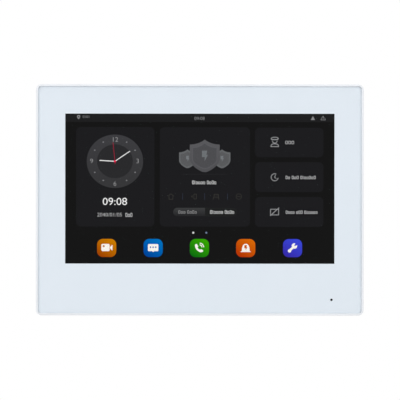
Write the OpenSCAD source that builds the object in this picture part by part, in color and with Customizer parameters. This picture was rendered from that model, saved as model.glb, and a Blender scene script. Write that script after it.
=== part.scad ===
// Wall-mounted video intercom monitor with a 7 inch touch display.
//
// Every module draws its piece lying on its back: x runs to the right, y runs up the wall and
// z runs out from the wall towards the room. upright() then stands the piece up, so that in the
// finished part the wall is the plane Y = 0, the glass faces -Y and the top edge faces +Z.

/* [Housing] */
// Width of the housing
body_w = 188; // [180:1:200]
// Height of the housing
body_h = 132.6; // [128:0.2:144]
// Distance from the wall to the front of the rim
body_depth = 25; // [24:0.5:30]
// Corner radius of the front outline
corner_r = 3.2; // [2:0.2:6]
// Rounding of the front edge
edge_r = 0.7; // [0.4:0.1:1.2]
// Width of the rim that shows around the glass
rim_w = 1.1; // [1:0.1:2.5]
// Thickness of the housing's side walls
wall = 2.2; // [1.8:0.1:2.6]

/* [Display] */
// Width of the picture
window_w = 154.5; // [150:0.1:158]
// Height of the picture
window_h = 86.1; // [80:0.1:90]
// Height of the picture's centre above the housing's centre
window_y = 6.4; // [2:0.2:8]
// Thickness of the cover glass
lens_t = 1.1; // [0.8:0.1:1.5]
// Diameter of the microphone hole in the glass
mic_hole_d = 1.4; // [1:0.1:2]

/* [Wall bracket] */
// Width of the bracket plate
bracket_w = 106; // [100:1:108]
// Height of the bracket plate
bracket_h = 80; // [76:1:82]
// Thickness of the bracket's sheet steel
bracket_t = 1.2; // [1:0.1:1.4]
// Height that the monitor is lifted to leave the hooks
lift = 6; // [5:0.5:6]
// Spacing across the wall of the four plug holes
plug_hole_dx = 92; // [90:1:94]
// Spacing up the wall of the four plug holes
plug_hole_dy = 68; // [66:1:69]
// Spacing of the two slots for a round wall box
box_slot_dx = 60; // [59:0.5:61]

/* [Hidden] */
$fn = 48;
eps = 0.01;

// Colours
housing_white = "#E9EDF1";
glass_tint = "#DDE9EE";
print_white = "#E1E8F0";
foam_black = "#26272A";
steel_grey = "#A9B0B6";
tin_grey = "#C9CDD0";
board_green = "#1F5B3A";
chip_black = "#2B2C2F";
plug_green = "#2E8B4A";
copper_tan = "#B5713A";

// Levels above the wall, from the glass back to the wall
rim_z = body_depth;
lens_front_z = rim_z - 0.2;
lens_back_z = lens_front_z - lens_t;
print_t = 0.1;
tape_t = 0.2;
ledge_front_z = lens_back_z - print_t - tape_t;
ledge_t = 2;
ledge_back_z = ledge_front_z - ledge_t;
sensor_t = 0.7;
sensor_back_z = lens_back_z - print_t - sensor_t;
gasket_t = 0.6;
lcd_front_z = sensor_back_z - gasket_t;
lcd_t = 3.5;
lcd_back_z = lcd_front_z - lcd_t;
chassis_t = 1;
chassis_back_z = lcd_back_z - chassis_t;
board_front_z = chassis_back_z - 3.3;
board_t = 1.6;
board_back_z = board_front_z - board_t;
split_z = 11.5;
shoulder_z = 15.5;
cover_back_z = 0.6;
pocket_z = 3.6;
pocket_floor_t = 1.8;
side_floor_z = 2.6;

// Outlines
lens_gap = 0.12;
lens_w = body_w - 2 * (rim_w + lens_gap);
lens_h = body_h - 2 * (rim_w + lens_gap);
lens_r = 1.7;
waist_in = 7;
waist_w = body_w - 2 * waist_in;
waist_h = body_h - 2 * waist_in;
waist_r = 9;
back_in = 5;
back_edge_r = 3;
lcd_w = 165;
lcd_h = 100;
lcd_y = window_y - 2.1;
opening_w = lcd_w + 7;
opening_h = lcd_h + 6;
mic_x = body_w / 2 - 18.4;
mic_y = -body_h / 2 + 9;

// Connector bay, the hollow behind the display where the cables are plugged in
bay_w = 62;
bay_top = 3;
bay_bottom = -36;
bay_floor_z = 15.2;
bay_wall = 1.2;
bay_h = bay_top - bay_bottom;
bay_y = (bay_top + bay_bottom) / 2;
socket_y = bay_top + bay_wall + 0.2;

// Main board, an upside-down U around the bay
board_w = 140;
board_top = 46;
board_bottom = -44;
notch_w = bay_w + 2 * bay_wall + 2;
notch_top = socket_y + 0.8;
standoff_x = 65;
standoff_top = 41;
standoff_bottom = -39;

// Connectors
pitch = 3.5;
header_h = 7.1;
header_d = 8;
jack_w = 16;
jack_d = 18;
jack_x = -22.5;
jack_back_z = pocket_z + pocket_floor_t + 0.3;
jack_h = 10.5;
power_x = -6.9;
power_ways = 2;
alarm_x = 15.2;
alarm_ways = 8;
plug_h = 5.5;
plug_z = board_back_z - header_h / 2;
plug_out = 10;
plug_in = 6.4;

// Reset switch and card socket, on the two legs of the board
reset_y = -14;
reset_z = board_back_z - 2;
card_y = -20;
card_w = 14.5;

// Fasteners
cover_screw_x = 74;
cover_screw_y = 46;
cover_boss_d = 8;
chassis_screw_places = [
    for (side = [-1, 1], y = [-40, 2, 44]) [side * (body_w / 2 - 6.5), y],
    for (side = [-1, 1], y = [-57, 60]) [side * 45, y]
];
board_screw_places = [
    for (side = [-1, 1], y = [standoff_bottom, standoff_top]) [side * standoff_x, y],
    [0, standoff_top]
];
cover_screw_places = [
    for (side = [-1, 1], up = [-1, 1]) [side * cover_screw_x, up * cover_screw_y]
];

// Bracket hooks
hook_x = 42;
hook_places = [for (side = [-1, 1], y = [-24, 16]) [side * hook_x, y]];
hook_w = 10;
hook_lip = 5;
hook_gap = 0.3;
hook_lip_z = pocket_z + pocket_floor_t + hook_gap;
slot_side = 0.5;

// Flat leads of the display and the touch sensor
display_lead_x = 48;
display_lead_w = 22;
touch_lead_x = -50;
touch_lead_w = 10;
flat_t = 0.2;

// Speaker
speaker_x = -68;
speaker_y = -6;
speaker_w = 20;
speaker_h = 40;
speaker_ear = 3;
speaker_front_z = side_floor_z + 0.6;

// Lead routes: points by hand, x, y and z in the lying frame
speaker_lead_route = [
    [-64, 7, 9], [-61.5, 9, 9.3], [-58, 12.5, 9.8], [-54.5, 17.5, 9.9], [-52, 21.2, 9.6],
    [-50, 22.8, 9.4], [-48.5, 22.8, 9.4]
];
microphone_lead_route = [
    [75.6, -57.3, 17.8], [75.6, -57.3, 16.9], [74.8, -56.2, 15.8], [72.4, -53.5, 14.4],
    [69, -50, 12.4], [65.5, -45.5, 10.4], [62.8, -41, 9.5], [60.8, -38.2, 9.2], [59, -38.2, 9.2]
];
antenna_route = [
    [12, 48, 3.45], [17, 48.6, 3.5], [24, 49, 4.2], [31, 48.6, 5.6], [37.5, 46.5, 7.4],
    [42.5, 43, 9], [45.5, 39.5, 9.95]
];

// ---- Shapes that repeat -------------------------------------------------------------------

// Stands a piece up, so that what faced up from the workbench faces the room
module upright() rotate([90, 0, 0]) children();

// Outline of a rectangle with round corners, about the origin
module round_rect(w, h, r) {
    square([w - 2 * r, h], center = true);
    square([w, h - 2 * r], center = true);
    for (side = [-1, 1], up = [-1, 1])
        translate([side * (w / 2 - r), up * (h / 2 - r)]) circle(r);
}

// Slab with round corners between two levels
module slab(w, h, r, z0, z1) {
    translate([0, 0, z0]) linear_extrude(z1 - z0) round_rect(w, h, r);
}

// Plain block, centred on x and y, between two levels
module block(w, h, z0, z1) {
    translate([-w / 2, -h / 2, z0]) cube([w, h, z1 - z0]);
}

// Upright cylinder between two levels
module post(d, z0, z1) {
    translate([0, 0, z0]) cylinder(d = d, h = z1 - z0);
}

// Repeats a piece at each of a list of places
module at_each(places) {
    for (p = places) translate([p[0], p[1], 0]) children();
}

// Screw with a pan head and a cross recess, its head at level z and its shank running to +z
module pan_screw(d, length, z) {
    head_d = 1.9 * d;
    head_t = 0.65 * d;
    difference() {
        union() {
            post(head_d, z - head_t, z);
            post(d, z, z + length);
        }
        for (turn = [0, 90]) rotate([0, 0, turn])
            block(0.22 * d, 1.1 * d, z - head_t - eps, z - 0.35 * head_t);
    }
}

// Lofted outline of the housing: layers is a list of [z, w, h, r]
module loft(layers) {
    hull() for (layer = layers)
        translate([0, 0, layer[0]]) linear_extrude(eps, $fn = 32)
            round_rect(layer[1], layer[2], layer[3], $fn = 32);
}

// Tube swept along a route of points, as one closed surface. Each ring of it is turned from a
// leaning direction that no stretch of a route follows.
module lead(route, d, sides = 8) {
    lean = [0.31, 0.17, 0.93];
    function direction(i) =
        let (a = route[max(i - 1, 0)], b = route[min(i + 1, len(route) - 1)]) (b - a) / norm(b - a);
    function ring(i) =
        let (along = direction(i), across = cross(along, lean), u = across / norm(across),
             v = cross(along, u))
        [for (k = [0 : sides - 1])
            route[i] + d / 2 * (cos(360 * k / sides) * u + sin(360 * k / sides) * v)];
    points = [for (i = [0 : len(route) - 1]) each ring(i)];
    last = len(route) - 1;
    walls = [for (i = [0 : last - 1], k = [0 : sides - 1])
        let (next = (k + 1) % sides)
        [i * sides + k, (i + 1) * sides + k, (i + 1) * sides + next, i * sides + next]];
    ends = [[for (k = [0 : sides - 1]) k], [for (k = [sides - 1 : -1 : 0]) last * sides + k]];
    polyhedron(points, concat(walls, ends), convexity = 4);
}

// ---- Wall bracket ------------------------------------------------------------------------

// Stamped steel plate with four hooks that are cut from it and bent forward, then up
module wall_bracket() color(steel_grey) upright() {
    difference() {
        slab(bracket_w, bracket_h, 5, 0, bracket_t);
        translate([0, -2, 0]) slab(44, 44, 6, -1, bracket_t + 1);
        at_each([for (side = [-1, 1], up = [-1, 1]) [side * plug_hole_dx / 2, up * plug_hole_dy / 2]])
            post(5, -1, bracket_t + 1);
        at_each([for (side = [-1, 1]) [side * box_slot_dx / 2, 0]]) slab(7, 4.2, 2.09, -1, bracket_t + 1);
        at_each(hook_places) translate([0, bracket_t + 5, 0]) block(hook_w + 1, 10, -1, bracket_t + 1);
    }
    at_each(hook_places) hook();
}

module hook() {
    translate([0, bracket_t / 2, 0]) block(hook_w, bracket_t, 0, hook_lip_z + bracket_t);
    translate([0, (hook_lip + bracket_t) / 2, 0])
        block(hook_w, hook_lip + bracket_t, hook_lip_z, hook_lip_z + bracket_t);
}

// ---- Front of the housing ----------------------------------------------------------------

// Levels and insets of the rounded front edge
function front_edge() = [
    for (a = [0 : 22.5 : 90])
        let (inset = edge_r * (1 - cos(a)))
        [rim_z - eps - edge_r * (1 - sin(a)), body_w - 2 * inset, body_h - 2 * inset, corner_r - inset]
];

// Moulded frame that holds the glass in its rim and the display and chassis behind its ledge
module front_frame() color(housing_white) upright() {
    inner_z = shoulder_z + 0.6;
    inner_r = 1.6;
    flare = waist_in / (inner_z - split_z);
    difference() {
        loft(concat(
            [[split_z, waist_w, waist_h, waist_r], [shoulder_z, body_w, body_h, corner_r]],
            front_edge()));
        loft([
            [split_z - 1, waist_w - 2 * wall - 2 * flare, waist_h - 2 * wall - 2 * flare, waist_r - wall],
            [inner_z, body_w - 2 * wall, body_h - 2 * wall, inner_r]
        ]);
        slab(body_w - 2 * wall, body_h - 2 * wall, inner_r, inner_z, ledge_back_z);
        slab(lens_w + 2 * lens_gap, lens_h + 2 * lens_gap, lens_r + lens_gap, ledge_front_z, rim_z + 1);
        translate([0, lcd_y, 0]) slab(opening_w, opening_h, 2, ledge_back_z - 1, ledge_front_z + 1);
        translate([mic_x, mic_y, 0]) post(2, ledge_back_z - 1, ledge_front_z + 1);
    }
    at_each(chassis_screw_places) difference() {
        post(6, lcd_back_z, ledge_back_z + 0.5);
        post(2.1, lcd_back_z - 1, ledge_back_z - 0.3);
    }
    translate([mic_x, mic_y, 0]) difference() {
        post(10.6, ledge_back_z - 2, ledge_back_z + 0.5);
        post(8.3, ledge_back_z - 3, ledge_back_z);
        post(2, ledge_back_z - 1, ledge_back_z + 1);
    }
}

// Toughened cover glass, flat and clear, with the one hole for the microphone
module cover_lens() color(glass_tint, 0.5) upright() difference() {
    slab(lens_w, lens_h, lens_r, lens_back_z, lens_front_z);
    translate([mic_x, mic_y, 0]) post(mic_hole_d, lens_back_z - 1, lens_front_z + 1);
}

// White ink printed on the back of the glass, all but the window
module lens_print() color(print_white) upright() difference() {
    slab(lens_w - 0.1, lens_h - 0.1, lens_r, lens_back_z - print_t, lens_back_z);
    translate([0, window_y, 0]) block(window_w, window_h, lens_back_z - 1, lens_back_z + 1);
    translate([mic_x, mic_y, 0]) post(mic_hole_d, lens_back_z - 1, lens_back_z + 1);
}

// Ring of double-sided tape that holds the glass on the frame's ledge
module lens_tape() color(foam_black) upright() difference() {
    slab(lens_w - 1, lens_h - 1, lens_r, ledge_front_z, ledge_front_z + tape_t);
    translate([0, lcd_y, 0]) slab(opening_w + 1, opening_h + 1, 2, ledge_front_z - 1, ledge_front_z + 1);
    translate([mic_x, mic_y, 0]) post(3, ledge_front_z - 1, ledge_front_z + 1);
}

// Clear adhesive that fills the print's window
module optical_adhesive() color(glass_tint, 0.4) upright()
    translate([0, window_y, 0])
        block(window_w - 0.1, window_h - 0.1, lens_back_z - print_t, lens_back_z);

// Touch sensor glass, bonded behind the cover glass
module touch_sensor() color(glass_tint, 0.5) upright()
    translate([0, lcd_y - 0.9, 0]) block(lcd_w + 1, lcd_h + 2, sensor_back_z, sensor_back_z + sensor_t);

// Flat lead of the touch sensor, folded under the chassis to the board
module touch_flex() color(copper_tan) upright() {
    low_y = lcd_y - 0.9 - lcd_h / 2 - 0.8;
    fold_z = board_front_z + 0.7;
    translate([touch_lead_x, low_y + 0.8, 0])
        block(touch_lead_w, 1.2, sensor_back_z - flat_t, sensor_back_z);
    translate([touch_lead_x, low_y + 0.1, 0]) block(touch_lead_w, flat_t, fold_z, sensor_back_z);
    translate([touch_lead_x, low_y + 3.1, 0]) block(touch_lead_w, 6.2, fold_z, fold_z + flat_t);
}

// Black foam that keeps dust out between the sensor and the display
module display_gasket() color(foam_black) upright() difference() {
    translate([0, lcd_y, 0]) slab(lcd_w, lcd_h, 1, lcd_front_z, sensor_back_z);
    translate([0, window_y, 0]) block(window_w + 3.6, window_h + 3.6, lcd_front_z - 1, sensor_back_z + 1);
}

// ---- Display module ----------------------------------------------------------------------

lcd_lip_t = 0.4;
cell_t = 1.3;
film_t = 0.3;
guide_t = 1.1;
tray_t = 0.4;
tray_wall = 0.6;
lamp_deep = 1;
strip_t = 0.4;
cell_back_z = lcd_front_z - lcd_lip_t - cell_t;
tray_w = lcd_w - 1;
tray_h = lcd_h - 1;
guide_bottom = lcd_y - tray_h / 2 + tray_wall + strip_t + lamp_deep;
guide_h = tray_h - 2 * tray_wall - strip_t - lamp_deep - 0.2;

// Pressed steel frame round the display, open at the foot for the flat lead
module lcd_frame() color(steel_grey) upright() difference() {
    translate([0, lcd_y, 0]) slab(lcd_w, lcd_h, 0.8, lcd_back_z + 0.5, lcd_front_z);
    translate([0, lcd_y, 0]) block(lcd_w - 0.8, lcd_h - 0.8, lcd_back_z - 1, lcd_front_z - lcd_lip_t);
    translate([0, window_y, 0]) block(window_w + 2, window_h + 2, lcd_back_z, lcd_front_z + 1);
    translate([display_lead_x, lcd_y - lcd_h / 2, 0])
        block(display_lead_w + 2, 3, lcd_back_z - 1, lcd_front_z - lcd_lip_t);
}

// Liquid crystal cell, two sheets of glass with their polarisers
module lcd_cell() color("#15171A") upright()
    translate([0, lcd_y, 0]) block(lcd_w - 2, lcd_h - 3, cell_back_z, cell_back_z + cell_t);

// Diffuser and prism films
module optical_films() color("#E8ECEE", 0.8) upright()
    translate([0, guide_bottom + guide_h / 2, 0])
        block(tray_w - 2, guide_h - 0.2, cell_back_z - film_t, cell_back_z);

// Acrylic plate that spreads the light of the lamps
module light_guide() color("#DCE7EC", 0.7) upright()
    translate([0, guide_bottom + guide_h / 2, 0])
        block(tray_w - 2, guide_h, cell_back_z - film_t - guide_t, cell_back_z - film_t);

// Lamps on their strip along the foot of the light guide
module led_strip() color("#F2E9B8") upright() {
    lamp_z = cell_back_z - film_t - guide_t;
    strip_y = guide_bottom - lamp_deep - strip_t / 2;
    translate([0, strip_y, 0]) block(tray_w - 6, strip_t, lamp_z, lamp_z + guide_t);
    for (i = [-10 : 10]) translate([i * 7.2, guide_bottom - lamp_deep / 2, 0])
        block(3.6, lamp_deep, lamp_z + 0.1, lamp_z + 0.9);
}

// White tray that holds the stack of the backlight
module backlight_tray() color("#D8DBDD") upright() {
    translate([0, lcd_y, 0]) difference() {
        block(tray_w, tray_h, lcd_back_z, cell_back_z - film_t);
        block(tray_w - 2 * tray_wall, tray_h - 2 * tray_wall, lcd_back_z + tray_t, cell_back_z + 1);
    }
}

// Flat lead of the display, folded under the chassis to the board
module lcd_flex() color(copper_tan) upright() {
    cell_low = lcd_y - (lcd_h - 3) / 2;
    low_y = lcd_y - lcd_h / 2 - 1.5;
    fold_z = board_front_z + 0.7;
    start_z = cell_back_z + 0.5;
    translate([display_lead_x, (cell_low + low_y) / 2, 0])
        block(display_lead_w, cell_low - low_y, start_z, start_z + flat_t);
    translate([display_lead_x, low_y + flat_t / 2, 0])
        block(display_lead_w, flat_t, fold_z, start_z + flat_t);
    translate([display_lead_x, low_y + 3.15, 0])
        block(display_lead_w, 6.3, fold_z, fold_z + flat_t);
}

// ---- Chassis and board -------------------------------------------------------------------

// Steel plate behind the display, which clamps it and carries the board
module chassis_plate() color(steel_grey) upright() difference() {
    slab(body_w - 2 * wall - 2.6, body_h - 2 * wall - 2.2, 2, chassis_back_z, lcd_back_z);
    at_each(chassis_screw_places) post(2.8, chassis_back_z - 1, lcd_back_z + 1);
    for (set = [[display_lead_x, display_lead_w], [touch_lead_x, touch_lead_w]])
        translate([set[0], lcd_y - lcd_h / 2 - 2.4, 0])
            block(set[1] + 4, 3.4, chassis_back_z - 1, lcd_back_z + 1);
    translate([mic_x, mic_y, 0]) post(12.4, chassis_back_z - 1, lcd_back_z + 1);
    for (x = [-46, 0, 46]) translate([x, 21, 0]) slab(30, 26, 4, chassis_back_z - 1, lcd_back_z + 1);
}

// Ten screws that fix the chassis to the bosses of the front frame
module chassis_screws() color(tin_grey) upright()
    at_each(chassis_screw_places) pan_screw(2, 3.2, chassis_back_z);

// Round standoffs riveted to the chassis, for the board
module board_standoffs() color(tin_grey) upright()
    at_each(board_screw_places) difference() {
        post(5.5, board_front_z, chassis_back_z);
        post(2.5, board_front_z - 1, chassis_back_z - 0.3);
    }

// Taller standoffs at the corners, for the rear cover
module cover_standoffs() color(tin_grey) upright()
    at_each(cover_screw_places) difference() {
        post(6, split_z - 0.5, chassis_back_z);
        post(2.5, split_z - 1.5, chassis_back_z - 0.8);
    }

// Circuit board, notched round the connector bay and under the network jack
module main_board() color(board_green) upright() difference() {
    translate([0, (board_top + board_bottom) / 2, 0])
        slab(board_w, board_top - board_bottom, 2, board_back_z, board_front_z);
    translate([0, (notch_top + board_bottom) / 2 - 2, 0])
        block(notch_w, notch_top - board_bottom + 4, board_back_z - 1, board_front_z + 1);
    translate([jack_x, socket_y + jack_d / 2, 0])
        block(jack_w + 0.8, jack_d + 0.8, board_back_z - 1, board_front_z + 1);
    at_each(board_screw_places) post(3.2, board_back_z - 1, board_front_z + 1);
}

// Five screws that fix the board to its standoffs
module board_screws() color(tin_grey) upright()
    at_each(board_screw_places) pan_screw(2.4, 4, board_back_z);

// Processor package
module processor() color(chip_black) upright()
    translate([18, 31, 0]) block(15, 15, board_back_z - 1.4, board_back_z);

// Two memory packages beside the processor
module memory_chips() color(chip_black) upright()
    for (y = [25.5, 37]) translate([36, y, 0]) block(12, 8.5, board_back_z - 1, board_back_z);

// Finned heat sink, bonded to the processor
module heat_sink() color(tin_grey) upright() translate([18, 31, 0]) {
    sink_z = board_back_z - 1.4;
    block(22, 20, sink_z - 1.2, sink_z);
    for (i = [-4 : 4]) translate([i * 2.55, 0, 0]) block(0.9, 20, sink_z - 5, sink_z - 1.2 + eps);
}

// Shielded radio module
module wifi_module() color(tin_grey) upright() translate([50, 33, 0]) {
    block(16, 14, board_back_z - 0.8, board_back_z);
    block(14.6, 12.6, board_back_z - 2.4, board_back_z - 0.8 + eps);
}

// Flat antenna, stuck inside the rear cover along its top
module wifi_antenna() color(copper_tan) upright()
    translate([-5, 48, 0]) block(34, 6, side_floor_z, side_floor_z + 0.3);

// Thin coaxial lead from the antenna to the radio module
module antenna_coax() color(chip_black) upright() lead(antenna_route, 1.1);

// Isolating transformer of the network port
module ethernet_transformer() color(chip_black) upright()
    translate([jack_x, 34, 0]) block(16, 12, board_back_z - 4.6, board_back_z);

// ---- Connectors --------------------------------------------------------------------------

// Eight-way network jack in its shield, mouth down into the bay and sunk through the board
module network_jack() color(tin_grey) upright() translate([jack_x, socket_y, 0]) difference() {
    translate([0, jack_d / 2, 0]) block(jack_w, jack_d, jack_back_z, jack_back_z + jack_h);
    translate([0, 6, 0]) block(11.9, 14, jack_back_z + 2.3, jack_back_z + 9.2);
    translate([0, 3, 0]) block(6.4, 8, jack_back_z + 0.6, jack_back_z + 3);
}

// Sprung contacts of the network jack
module network_contacts() color("#D9B45A") upright() translate([jack_x, socket_y, 0])
    for (i = [-3.5 : 3.5]) translate([i * 1.02, 8, 0]) {
        block(0.45, 9, jack_back_z + 8.75, jack_back_z + 9.2);
        translate([0, 4, 0]) block(0.45, 1, jack_back_z + 6.5, jack_back_z + 8.75 + eps);
    }

pin_w = 0.9;

// Places across a row of ways
function pin_places(ways) = [for (i = [0 : ways - 1]) (i - (ways - 1) / 2) * pitch];

// Box that a terminal plug slides into, mouth down into the bay
module header(ways) {
    w = ways * pitch + 2.2;
    difference() {
        translate([0, header_d / 2, 0]) block(w, header_d, board_back_z - header_h, board_back_z);
        translate([0, plug_in / 2, 0])
            block(w - 1.6, plug_in + 1, plug_z - plug_h / 2 - 0.15, plug_z + plug_h / 2 + 0.15);
        for (x = pin_places(ways)) translate([x, header_d, 0])
            block(pin_w, 4, plug_z - pin_w / 2, plug_z + pin_w / 2);
    }
}

module power_header() color(plug_green) upright() translate([power_x, socket_y, 0]) header(power_ways);

module alarm_header() color(plug_green) upright() translate([alarm_x, socket_y, 0]) header(alarm_ways);

// Pins of the two headers, bent to the board behind them
module header_pins() color(tin_grey) upright()
    for (set = [[power_x, power_ways], [alarm_x, alarm_ways]], x = pin_places(set[1]))
        translate([set[0] + x, socket_y, 0]) {
            pin_start = plug_in - 3.6;
            pin_end = header_d + 1;
            translate([0, (pin_start + pin_end) / 2, 0])
                block(pin_w, pin_end - pin_start, plug_z - pin_w / 2, plug_z + pin_w / 2);
            translate([0, pin_end - pin_w / 2, 0]) block(pin_w, pin_w, plug_z, board_back_z);
        }

// Terminal plug: the nose that goes into the header and the block that takes the wires
module terminal_plug(ways) {
    w = ways * pitch;
    block_top = bay_top - 0.3;
    difference() {
        union() {
            translate([0, (socket_y + plug_in - 0.3 + block_top) / 2, 0])
                block(w + 0.3, socket_y + plug_in - 0.3 - block_top + eps,
                      plug_z - plug_h / 2, plug_z + plug_h / 2);
            translate([0, block_top - plug_out / 2, 0])
                block(w + 0.3, plug_out, plug_z - plug_h / 2 - 0.5, plug_z + plug_h / 2 + 0.5);
        }
        for (x = pin_places(ways)) translate([x, 0, 0]) {
            translate([0, block_top - plug_out + 3, 0]) block(2.4, 8, plug_z - 1.1, plug_z + 1.1);
            translate([0, block_top - 4.5, 0]) post(2.8, plug_z - plug_h, plug_z - plug_h / 2 + 1.6);
            translate([0, socket_y + plug_in - 2, 0]) block(1.3, 6, plug_z - 0.7, plug_z + 0.7);
        }
    }
}

// Slotted clamp screws of a terminal plug
module clamp_screws(ways) {
    for (x = pin_places(ways))
        translate([x, bay_top - 0.3 - 4.5, 0]) difference() {
            post(2.6, plug_z - plug_h / 2, plug_z - plug_h / 2 + 1.6);
            block(0.5, 2.8, plug_z - plug_h / 2 - 1, plug_z - plug_h / 2 + 0.6);
        }
}

module power_plug() color(plug_green) upright() translate([power_x, 0, 0]) terminal_plug(power_ways);

module power_plug_screws() color(tin_grey) upright() translate([power_x, 0, 0]) clamp_screws(power_ways);

module alarm_plug() color(plug_green) upright() translate([alarm_x, 0, 0]) terminal_plug(alarm_ways);

module alarm_plug_screws() color(tin_grey) upright() translate([alarm_x, 0, 0]) clamp_screws(alarm_ways);

// Power coils and electrolytic capacitors
module power_coils() color(chip_black) upright()
    for (y = [17, 26, 35]) translate([-5, y, 0]) slab(7, 7, 1.2, board_back_z - 3.5, board_back_z);

module capacitors() color(tin_grey) upright()
    for (p = [[-36, 10], [-44, 10], [40, 10], [48, 10]])
        translate([p[0], p[1], 0]) post(6.3, board_back_z - 5, board_back_z);

// Memory card socket, on the left leg of the board with its slot towards the bay
module card_socket() color(tin_grey) upright()
    translate([-notch_w / 2 - 0.5, card_y, 0]) difference() {
        translate([-7.5, 0, 0]) block(15, card_w, board_back_z - 1.8, board_back_z);
        translate([-5, 0, 0]) block(14, 11.4, board_back_z - 1.4, board_back_z - 0.5);
    }

// Sockets for the two flat leads, on the front of the board
module flex_connectors() color("#E6DFC8") upright() {
    for (set = [[display_lead_x, display_lead_w, 6.8], [touch_lead_x, touch_lead_w, 6.5]])
        translate([set[0], lcd_y - lcd_h / 2 + set[2], 0])
            block(set[1] + 3, 4, board_front_z, board_front_z + 1.8);
}

// Plug-in ends of the speaker and microphone leads
module lead_connectors() color("#EFEFEA") upright() {
    translate([-45.5, 24, 0]) block(6, 6, board_back_z - 5, board_back_z);
    translate([56, -37, 0]) block(6, 6, board_back_z - 5, board_back_z);
}

// Small push switch on the right leg of the board, and its button
module reset_switch() color(chip_black) upright()
    translate([notch_w / 2 + 4, reset_y, 0]) difference() {
        block(4, 6, board_back_z - 3.8, board_back_z);
        translate([-2, 0, reset_z]) rotate([0, 90, 0]) cylinder(d = 1.9, h = 2.6, center = true);
    }

module reset_button() color("#E6DFC8") upright()
    translate([notch_w / 2 + 0.6, reset_y, reset_z]) rotate([0, 90, 0]) cylinder(d = 1.8, h = 2.2);

// ---- Sound -------------------------------------------------------------------------------

// Outline with half-round ends, standing on its end
module oval(w, h) {
    square([w, h - w], center = true);
    for (up = [-1, 1]) translate([0, up * (h - w) / 2]) circle(d = w);
}

module oval_ring(w, h, band, z0, z1) {
    translate([0, 0, z0]) linear_extrude(z1 - z0) difference() {
        oval(w, h);
        oval(w - 2 * band, h - 2 * band);
    }
}

speaker_screw_places = [for (up = [-1, 1]) [speaker_x, speaker_y + up * (speaker_h / 2 + speaker_ear)]];

// Foam ring between the speaker and the cover
module speaker_gasket() color(foam_black) upright() translate([speaker_x, speaker_y, 0])
    oval_ring(speaker_w, speaker_h, 1.6, side_floor_z, speaker_front_z);

// Basket of the speaker, with an ear at each end
module speaker_frame() color(chip_black) upright() translate([speaker_x, speaker_y, 0]) {
    oval_ring(speaker_w, speaker_h, 1.6, speaker_front_z, speaker_front_z + 4.2);
    translate([0, 0, speaker_front_z + 4]) linear_extrude(1) difference() {
        oval(speaker_w, speaker_h);
        circle(d = 9);
    }
    for (up = [-1, 1]) translate([0, up * (speaker_h / 2 + speaker_ear - 1), 0]) difference() {
        slab(6.4, 8, 2, speaker_front_z, speaker_front_z + 1);
        translate([0, up, 0]) post(2.4, speaker_front_z - 1, speaker_front_z + 2);
        translate([0, -up * 5, 0]) block(8, 6, speaker_front_z - 1, speaker_front_z + 2);
    }
}

// Paper cone with its dust cap and voice coil
module speaker_cone() color("#3A3B3E") upright() translate([speaker_x, speaker_y, 0]) {
    translate([0, 0, speaker_front_z + 1.2]) linear_extrude(0.5) oval(speaker_w - 3.2, speaker_h - 3.2);
    translate([0, 0, speaker_front_z + 0.7]) cylinder(d1 = 4, d2 = 8, h = 0.5 + eps);
    post(8, speaker_front_z + 1.7 - eps, speaker_front_z + 5.8);
}

// Magnet and yoke behind the basket
module speaker_magnet() color(steel_grey) upright() translate([speaker_x, speaker_y, 0]) difference() {
    post(15, speaker_front_z + 5, speaker_front_z + 8.4);
    post(8.6, speaker_front_z + 4, speaker_front_z + 6.4);
}

module speaker_screws() color(tin_grey) upright()
    at_each(speaker_screw_places) rotate([180, 0, 0])
        pan_screw(2, 2.2, -speaker_front_z - 1);

// Leads of the speaker and the microphone
module speaker_lead() color("#8C2B2B") upright() lead(speaker_lead_route, 1.6);

module microphone_lead() color("#3C3C40") upright() lead(microphone_lead_route, 1.4);

mic_back_z = ledge_back_z - 3.6;

// Electret microphone in its rubber boot, behind the hole in the glass
module microphone() color(tin_grey) upright()
    translate([mic_x, mic_y, 0]) post(6, mic_back_z, mic_back_z + 2.7);

module microphone_boot() color(foam_black) upright() translate([mic_x, mic_y, 0]) difference() {
    post(8, mic_back_z, ledge_back_z);
    post(6.04, mic_back_z - 1, mic_back_z + 2.7);
    post(2, mic_back_z, ledge_back_z + 1);
}

// ---- Rear of the housing -----------------------------------------------------------------

// Levels and insets of the rounded back edge
function back_edge(inset = 0) = [
    for (a = [0 : 22.5 : 90])
        let (in = back_in + back_edge_r * (1 - sin(a)) + inset)
        [cover_back_z + back_edge_r * (1 - cos(a)), waist_w - 2 * in, waist_h - 2 * in,
         waist_r - back_edge_r * (1 - sin(a)) * 0.5 - inset]
];

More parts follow.
